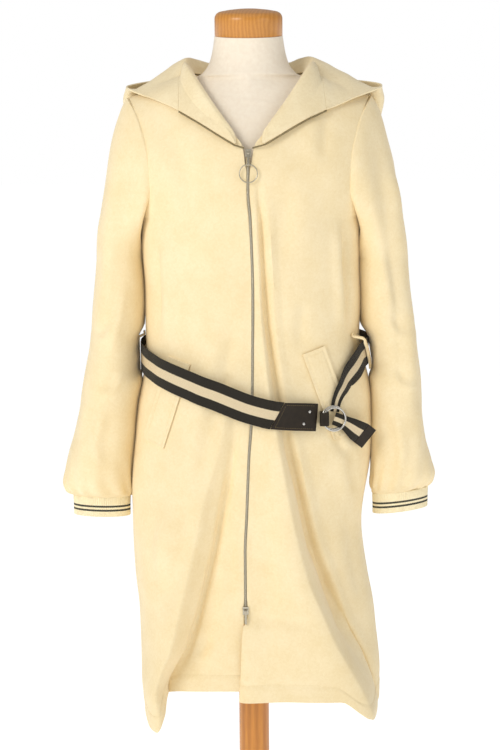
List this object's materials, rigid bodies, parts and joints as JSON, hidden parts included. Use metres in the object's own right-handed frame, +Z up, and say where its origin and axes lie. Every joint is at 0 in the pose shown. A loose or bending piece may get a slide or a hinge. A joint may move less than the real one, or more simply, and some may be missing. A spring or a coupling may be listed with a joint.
{
  "type": "hooded coat on a dress form",
  "caption": "Knee-length cream hooded zip coat of felted wool with rib cuffs and a slung striped belt, worn by a limbless dress form on a wooden pole and base.",
  "frame": {"origin": "middle of the base's underside", "axes": "+Z up along the pole, the coat's front faces -Y, the wearer's left is +X"},
  "size_m": [0.59, 0.3659, 1.4882],
  "materials": {
    "wool": "matt felted wool, soft short nap",
    "rib": "matt rib knit with two dark stripes",
    "webbing": "woven twill webbing, black with a cream stripe",
    "leather": "smooth dark brown, slight gloss",
    "nickel": "polished nickel plate",
    "jersey": "matt stretched cotton jersey",
    "beech": "satin lacquered warm beech"
  },
  "bodies": {
    "root": {"back": "wool", "front_left": "wool", "front_right": "wool", "sleeve_left": "wool", "sleeve_right": "wool", "cuff_left": "rib", "cuff_right": "rib", "hood_left": "wool", "hood_right": "wool", "lapel_left": "wool", "lapel_right": "wool", "welt_left": "wool", "welt_right": "wool", "belt_loop_left": "wool", "belt_loop_right": "wool", "belt_webbing": "webbing", "belt_free_end": "webbing", "belt_tab": "leather", "belt_keeper": "leather", "belt_tip": "leather", "belt_ring_inner": "nickel", "belt_ring_outer": "nickel", "belt_rivet_upper": "nickel", "belt_rivet_lower": "nickel", "zip_chain": "nickel", "zip_edge_left": "nickel", "zip_edge_right": "nickel", "zip_slider_upper": "nickel", "zip_slider_lower": "nickel", "form_torso": "jersey", "form_neck_cap": "beech", "form_pole": "beech", "form_base": "beech"},
    "zip_tab_upper": {"zip_tab_upper": "nickel"},
    "zip_pull_ring": {"zip_pull_ring": "nickel"},
    "zip_tab_lower": {"zip_tab_lower": "nickel"}
  },
  "joints": [
    {"name": "zip_tab_upper_hinge", "type": "hinge", "parent": "root", "child": "zip_tab_upper", "pos_m": [-0.0021, -0.12179, 1.266], "axis": [-1, 0, 0], "range_deg": [0, 100]},
    {"name": "zip_pull_ring_hinge", "type": "hinge", "parent": "zip_tab_upper", "child": "zip_pull_ring", "pos_m": [-0.0021, -0.12398, 1.24894], "axis": [-1, 0, 0], "range_deg": [0, 90]},
    {"name": "zip_tab_lower_hinge", "type": "hinge", "parent": "root", "child": "zip_tab_lower", "pos_m": [-0.012, -0.12844, 0.559], "axis": [-1, 0, 0], "range_deg": [0, 100]}
  ]
}
